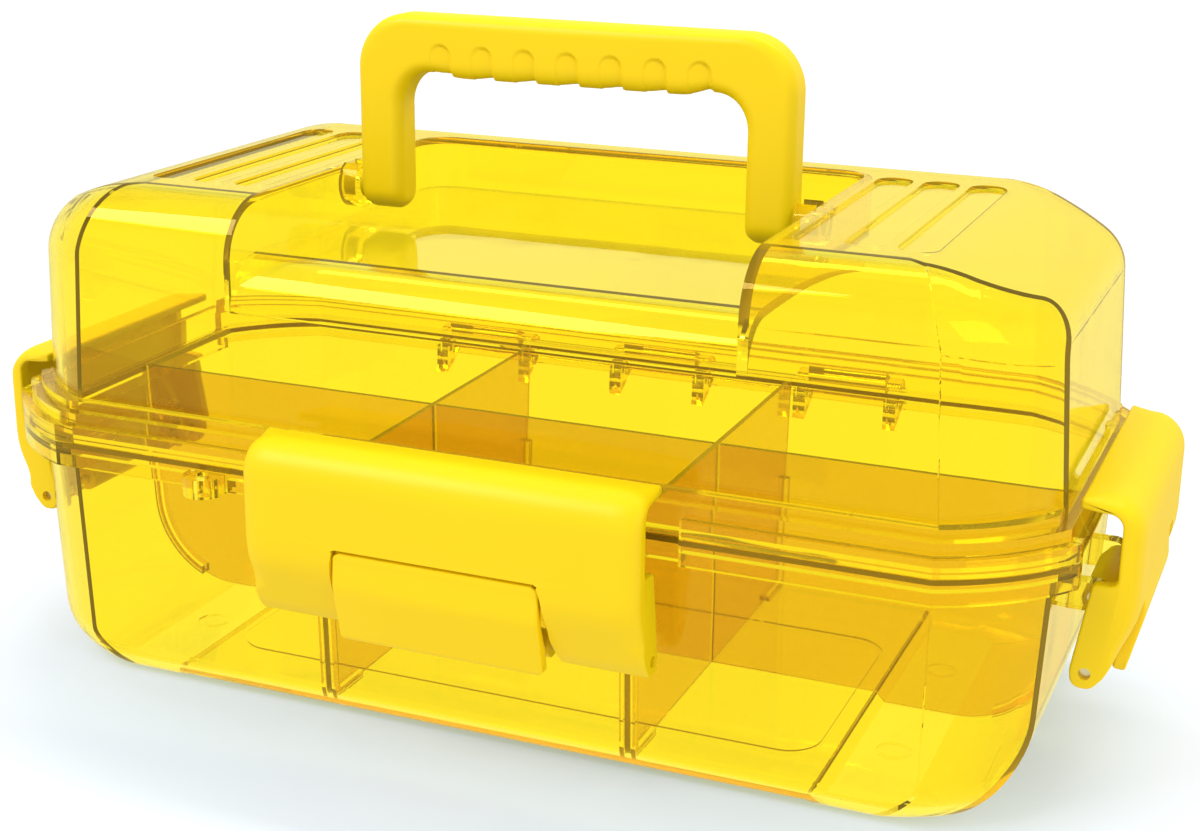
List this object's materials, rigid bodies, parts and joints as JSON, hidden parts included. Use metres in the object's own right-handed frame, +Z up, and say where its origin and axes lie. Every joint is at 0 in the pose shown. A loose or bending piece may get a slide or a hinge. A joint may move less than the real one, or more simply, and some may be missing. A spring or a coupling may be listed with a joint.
{
  "type": "specimen transport box",
  "caption": "Hinged clear yellow transport box with stepped sealed rims, over-centre latches, fold-down carrying handle and lift-out dividers.",
  "frame": {"origin": "centre of the footprint, on the plane the feet rest on", "axes": "+X along the length, towards the viewer's right; -Y towards the front latch; +Z up"},
  "size_m": [0.433, 0.226, 0.241],
  "materials": {
    "clear_shell": "polished, transparent amber-yellow polycarbonate",
    "yellow_plastic": "satin, opaque yellow",
    "steel": "drawn steel rod",
    "seal": "smooth silicone",
    "divider": "transparent yellow sheet"
  },
  "bodies": {
    "base": {"base_shell": "clear_shell", "rim_gasket": "seal", "hinge_rod": "steel", "long_divider": "divider", "cross_divider_left": "divider", "cross_divider_right": "divider", "front_latch_pivot_pin": "steel", "right_latch_pivot_pin": "steel", "left_latch_pivot_pin": "steel"},
    "lid": {"lid_shell": "clear_shell"},
    "handle": {"handle": "yellow_plastic"},
    "front_lever": {"front_latch_lever": "yellow_plastic"},
    "front_latch": {"front_latch_body": "yellow_plastic", "front_latch_link_pin": "steel"},
    "right_lever": {"right_latch_lever": "yellow_plastic"},
    "right_latch": {"right_latch_body": "yellow_plastic", "right_latch_link_pin": "steel"},
    "left_lever": {"left_latch_lever": "yellow_plastic"},
    "left_latch": {"left_latch_body": "yellow_plastic", "left_latch_link_pin": "steel"}
  },
  "joints": [
    {"name": "lid_hinge", "type": "hinge", "parent": "base", "child": "lid", "pos_m": [0, 0.1075, 0.0905], "axis": [-1, 0, 0], "range_deg": [0, 105]},
    {"name": "handle_pivot", "type": "hinge", "parent": "lid", "child": "handle", "pos_m": [0, 0.003, 0.1765], "axis": [1, 0, 0], "range_deg": [-88, 88]},
    {"name": "front_lever_pivot", "type": "hinge", "parent": "base", "child": "front_lever", "pos_m": [0, -0.095, 0.0655], "axis": [-1, 0, 0], "range_deg": [0, 52]},
    {"name": "front_latch_link", "type": "hinge", "parent": "front_lever", "child": "front_latch", "pos_m": [0, -0.0982, 0.0512], "axis": [-1, 0, 0], "range_deg": [-52, 0]},
    {"name": "right_lever_pivot", "type": "hinge", "parent": "base", "child": "right_lever", "pos_m": [0.1985, 0.003, 0.0655], "axis": [0, -1, 0], "range_deg": [0, 52]},
    {"name": "right_latch_link", "type": "hinge", "parent": "right_lever", "child": "right_latch", "pos_m": [0.2017, 0.003, 0.0512], "axis": [0, -1, 0], "range_deg": [-52, 0]},
    {"name": "left_lever_pivot", "type": "hinge", "parent": "base", "child": "left_lever", "pos_m": [-0.1985, 0.003, 0.0655], "axis": [0, 1, 0], "range_deg": [0, 52]},
    {"name": "left_latch_link", "type": "hinge", "parent": "left_lever", "child": "left_latch", "pos_m": [-0.2017, 0.003, 0.0512], "axis": [0, 1, 0], "range_deg": [-52, 0]}
  ],
  "couplings": [
    {"joint": "front_latch_link", "follows": "front_lever_pivot", "ratio": -1},
    {"joint": "right_latch_link", "follows": "right_lever_pivot", "ratio": -1},
    {"joint": "left_latch_link", "follows": "left_lever_pivot", "ratio": -1}
  ]
}
